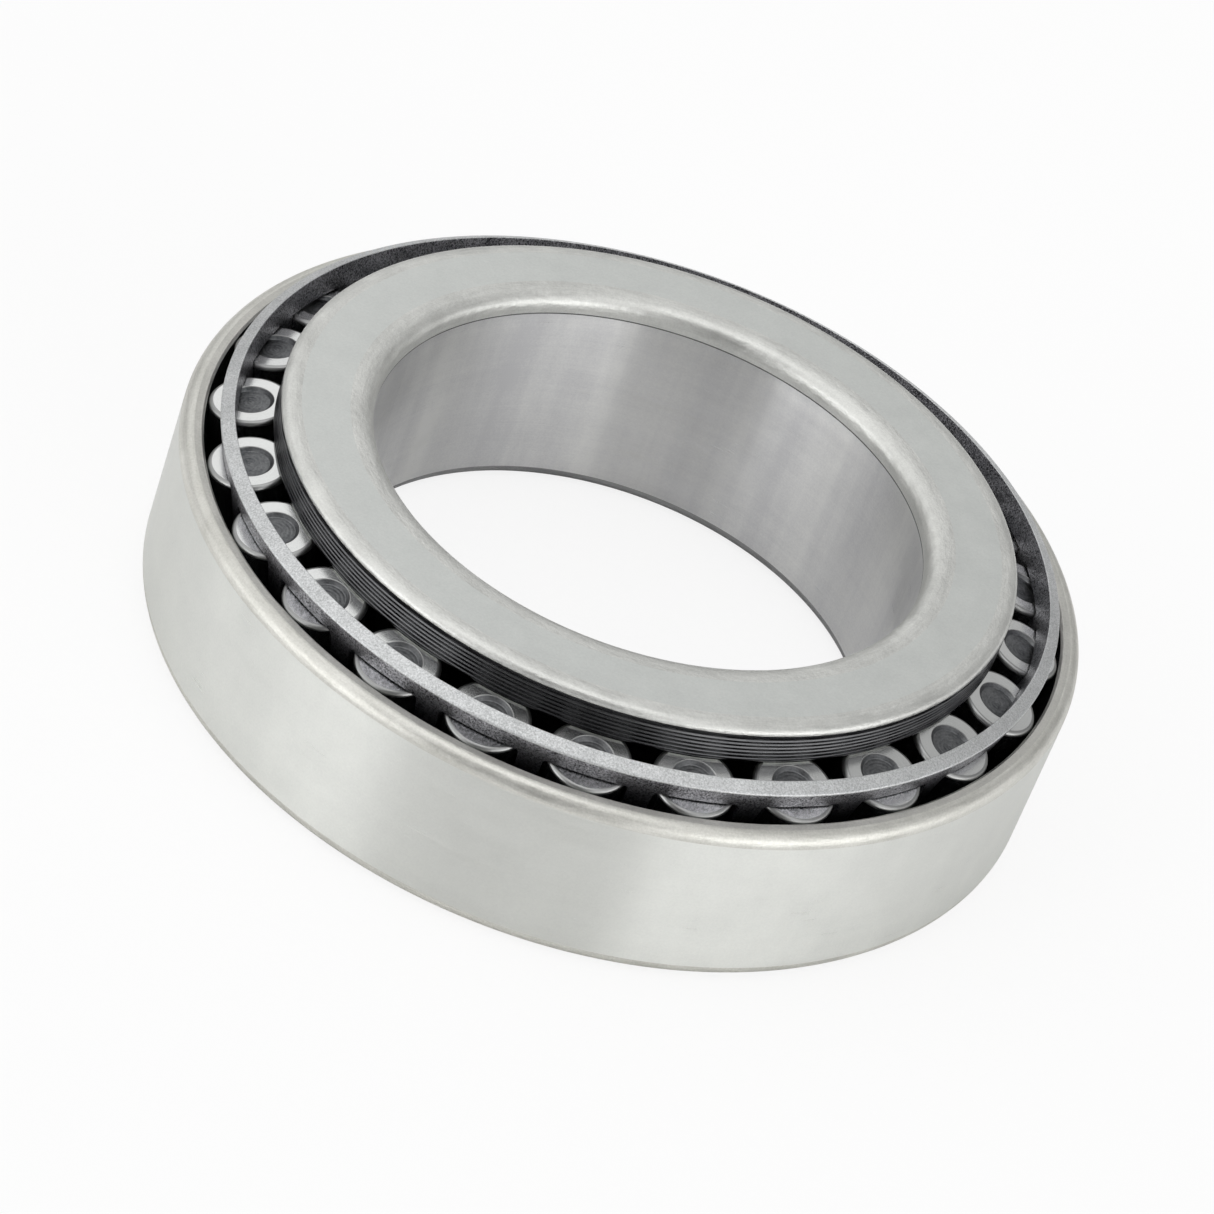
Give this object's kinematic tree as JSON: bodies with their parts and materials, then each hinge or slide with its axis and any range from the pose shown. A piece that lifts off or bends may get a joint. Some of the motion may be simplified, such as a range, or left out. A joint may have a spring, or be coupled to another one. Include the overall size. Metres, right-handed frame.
{
  "type": "tapered roller bearing",
  "caption": "Single-row tapered roller bearing: cup, cone, pressed cage and tapered rollers that roll when the cone turns.",
  "frame": {"origin": "on the bearing's axis, in the plane of the cup's back face and the cone's front face", "axes": "+Z along the bearing's axis, from the cone's small front face to its large back face; +X through the first roller"},
  "size_m": [0.09, 0.09, 0.023],
  "materials": {
    "cup_steel": "ground satin, fine circumferential lines",
    "cone_steel": "ground satin, brighter rounded edges",
    "cage_steel": "matte pressed and blasted sheet",
    "roller_steel": "bright superfinished, turned recess in the end"
  },
  "bodies": {
    "cup": {"cup": "cup_steel"},
    "cone": {"cone": "cone_steel"},
    "cage": {"cage": "cage_steel"},
    "roller_01": {"roller_01": "roller_steel"},
    "roller_02": {"roller_02": "roller_steel"},
    "roller_03": {"roller_03": "roller_steel"},
    "roller_04": {"roller_04": "roller_steel"},
    "roller_05": {"roller_05": "roller_steel"},
    "roller_06": {"roller_06": "roller_steel"},
    "roller_07": {"roller_07": "roller_steel"},
    "roller_08": {"roller_08": "roller_steel"},
    "roller_09": {"roller_09": "roller_steel"},
    "roller_10": {"roller_10": "roller_steel"},
    "roller_11": {"roller_11": "roller_steel"},
    "roller_12": {"roller_12": "roller_steel"},
    "roller_13": {"roller_13": "roller_steel"},
    "roller_14": {"roller_14": "roller_steel"},
    "roller_15": {"roller_15": "roller_steel"},
    "roller_16": {"roller_16": "roller_steel"},
    "roller_17": {"roller_17": "roller_steel"},
    "roller_18": {"roller_18": "roller_steel"},
    "roller_19": {"roller_19": "roller_steel"},
    "roller_20": {"roller_20": "roller_steel"},
    "roller_21": {"roller_21": "roller_steel"},
    "roller_22": {"roller_22": "roller_steel"},
    "roller_23": {"roller_23": "roller_steel"},
    "roller_24": {"roller_24": "roller_steel"},
    "roller_25": {"roller_25": "roller_steel"}
  },
  "joints": [
    {"name": "cone_spin", "type": "hinge", "parent": "cup", "child": "cone", "pos_m": [0, 0, 0], "axis": [0, 0, 1], "continuous": true},
    {"name": "cage_orbit", "type": "hinge", "parent": "cup", "child": "cage", "pos_m": [0, 0, 0], "axis": [0, 0, 1], "continuous": true},
    {"name": "roller_01_spin", "type": "hinge", "parent": "cage", "child": "roller_01", "pos_m": [0.03723, 0, 0.01125], "axis": [0.2323, 0, 0.9726], "continuous": true},
    {"name": "roller_02_spin", "type": "hinge", "parent": "cage", "child": "roller_02", "pos_m": [0.03606, 0.00926, 0.01125], "axis": [0.225, 0.0578, 0.9726], "continuous": true},
    {"name": "roller_03_spin", "type": "hinge", "parent": "cage", "child": "roller_03", "pos_m": [0.03262, 0.01793, 0.01125], "axis": [0.2036, 0.1119, 0.9726], "continuous": true},
    {"name": "roller_04_spin", "type": "hinge", "parent": "cage", "child": "roller_04", "pos_m": [0.02714, 0.02548, 0.01125], "axis": [0.1693, 0.159, 0.9726], "continuous": true},
    {"name": "roller_05_spin", "type": "hinge", "parent": "cage", "child": "roller_05", "pos_m": [0.01995, 0.03143, 0.01125], "axis": [0.1245, 0.1961, 0.9726], "continuous": true},
    {"name": "roller_06_spin", "type": "hinge", "parent": "cage", "child": "roller_06", "pos_m": [0.0115, 0.0354, 0.01125], "axis": [0.0718, 0.2209, 0.9726], "continuous": true},
    {"name": "roller_07_spin", "type": "hinge", "parent": "cage", "child": "roller_07", "pos_m": [0.00234, 0.03715, 0.01125], "axis": [0.0146, 0.2319, 0.9726], "continuous": true},
    {"name": "roller_08_spin", "type": "hinge", "parent": "cage", "child": "roller_08", "pos_m": [-0.00698, 0.03657, 0.01125], "axis": [-0.0435, 0.2282, 0.9726], "continuous": true},
    {"name": "roller_09_spin", "type": "hinge", "parent": "cage", "child": "roller_09", "pos_m": [-0.01585, 0.03368, 0.01125], "axis": [-0.0989, 0.2102, 0.9726], "continuous": true},
    {"name": "roller_10_spin", "type": "hinge", "parent": "cage", "child": "roller_10", "pos_m": [-0.02373, 0.02868, 0.01125], "axis": [-0.1481, 0.179, 0.9726], "continuous": true},
    {"name": "roller_11_spin", "type": "hinge", "parent": "cage", "child": "roller_11", "pos_m": [-0.03012, 0.02188, 0.01125], "axis": [-0.1879, 0.1365, 0.9726], "continuous": true},
    {"name": "roller_12_spin", "type": "hinge", "parent": "cage", "child": "roller_12", "pos_m": [-0.03461, 0.0137, 0.01125], "axis": [-0.216, 0.0855, 0.9726], "continuous": true},
    {"name": "roller_13_spin", "type": "hinge", "parent": "cage", "child": "roller_13", "pos_m": [-0.03693, 0.00467, 0.01125], "axis": [-0.2305, 0.0291, 0.9726], "continuous": true},
    {"name": "roller_14_spin", "type": "hinge", "parent": "cage", "child": "roller_14", "pos_m": [-0.03693, -0.00467, 0.01125], "axis": [-0.2305, -0.0291, 0.9726], "continuous": true},
    {"name": "roller_15_spin", "type": "hinge", "parent": "cage", "child": "roller_15", "pos_m": [-0.03461, -0.0137, 0.01125], "axis": [-0.216, -0.0855, 0.9726], "continuous": true},
    {"name": "roller_16_spin", "type": "hinge", "parent": "cage", "child": "roller_16", "pos_m": [-0.03012, -0.02188, 0.01125], "axis": [-0.1879, -0.1365, 0.9726], "continuous": true},
    {"name": "roller_17_spin", "type": "hinge", "parent": "cage", "child": "roller_17", "pos_m": [-0.02373, -0.02868, 0.01125], "axis": [-0.1481, -0.179, 0.9726], "continuous": true},
    {"name": "roller_18_spin", "type": "hinge", "parent": "cage", "child": "roller_18", "pos_m": [-0.01585, -0.03368, 0.01125], "axis": [-0.0989, -0.2102, 0.9726], "continuous": true},
    {"name": "roller_19_spin", "type": "hinge", "parent": "cage", "child": "roller_19", "pos_m": [-0.00698, -0.03657, 0.01125], "axis": [-0.0435, -0.2282, 0.9726], "continuous": true},
    {"name": "roller_20_spin", "type": "hinge", "parent": "cage", "child": "roller_20", "pos_m": [0.00234, -0.03715, 0.01125], "axis": [0.0146, -0.2319, 0.9726], "continuous": true},
    {"name": "roller_21_spin", "type": "hinge", "parent": "cage", "child": "roller_21", "pos_m": [0.0115, -0.0354, 0.01125], "axis": [0.0718, -0.2209, 0.9726], "continuous": true},
    {"name": "roller_22_spin", "type": "hinge", "parent": "cage", "child": "roller_22", "pos_m": [0.01995, -0.03143, 0.01125], "axis": [0.1245, -0.1961, 0.9726], "continuous": true},
    {"name": "roller_23_spin", "type": "hinge", "parent": "cage", "child": "roller_23", "pos_m": [0.02714, -0.02548, 0.01125], "axis": [0.1693, -0.159, 0.9726], "continuous": true},
    {"name": "roller_24_spin", "type": "hinge", "parent": "cage", "child": "roller_24", "pos_m": [0.03262, -0.01793, 0.01125], "axis": [0.2036, -0.1119, 0.9726], "continuous": true},
    {"name": "roller_25_spin", "type": "hinge", "parent": "cage", "child": "roller_25", "pos_m": [0.03606, -0.00926, 0.01125], "axis": [0.225, -0.0578, 0.9726], "continuous": true}
  ],
  "couplings": [
    {"joint": "cage_orbit", "follows": "cone_spin", "ratio": 0.44944},
    {"joint": "roller_01_spin", "follows": "cone_spin", "ratio": -4.7603},
    {"joint": "roller_02_spin", "follows": "cone_spin", "ratio": -4.7603},
    {"joint": "roller_03_spin", "follows": "cone_spin", "ratio": -4.7603},
    {"joint": "roller_04_spin", "follows": "cone_spin", "ratio": -4.7603},
    {"joint": "roller_05_spin", "follows": "cone_spin", "ratio": -4.7603},
    {"joint": "roller_06_spin", "follows": "cone_spin", "ratio": -4.7603},
    {"joint": "roller_07_spin", "follows": "cone_spin", "ratio": -4.7603},
    {"joint": "roller_08_spin", "follows": "cone_spin", "ratio": -4.7603},
    {"joint": "roller_09_spin", "follows": "cone_spin", "ratio": -4.7603},
    {"joint": "roller_10_spin", "follows": "cone_spin", "ratio": -4.7603},
    {"joint": "roller_11_spin", "follows": "cone_spin", "ratio": -4.7603},
    {"joint": "roller_12_spin", "follows": "cone_spin", "ratio": -4.7603},
    {"joint": "roller_13_spin", "follows": "cone_spin", "ratio": -4.7603},
    {"joint": "roller_14_spin", "follows": "cone_spin", "ratio": -4.7603},
    {"joint": "roller_15_spin", "follows": "cone_spin", "ratio": -4.7603},
    {"joint": "roller_16_spin", "follows": "cone_spin", "ratio": -4.7603},
    {"joint": "roller_17_spin", "follows": "cone_spin", "ratio": -4.7603},
    {"joint": "roller_18_spin", "follows": "cone_spin", "ratio": -4.7603},
    {"joint": "roller_19_spin", "follows": "cone_spin", "ratio": -4.7603},
    {"joint": "roller_20_spin", "follows": "cone_spin", "ratio": -4.7603},
    {"joint": "roller_21_spin", "follows": "cone_spin", "ratio": -4.7603},
    {"joint": "roller_22_spin", "follows": "cone_spin", "ratio": -4.7603},
    {"joint": "roller_23_spin", "follows": "cone_spin", "ratio": -4.7603},
    {"joint": "roller_24_spin", "follows": "cone_spin", "ratio": -4.7603},
    {"joint": "roller_25_spin", "follows": "cone_spin", "ratio": -4.7603}
  ]
}
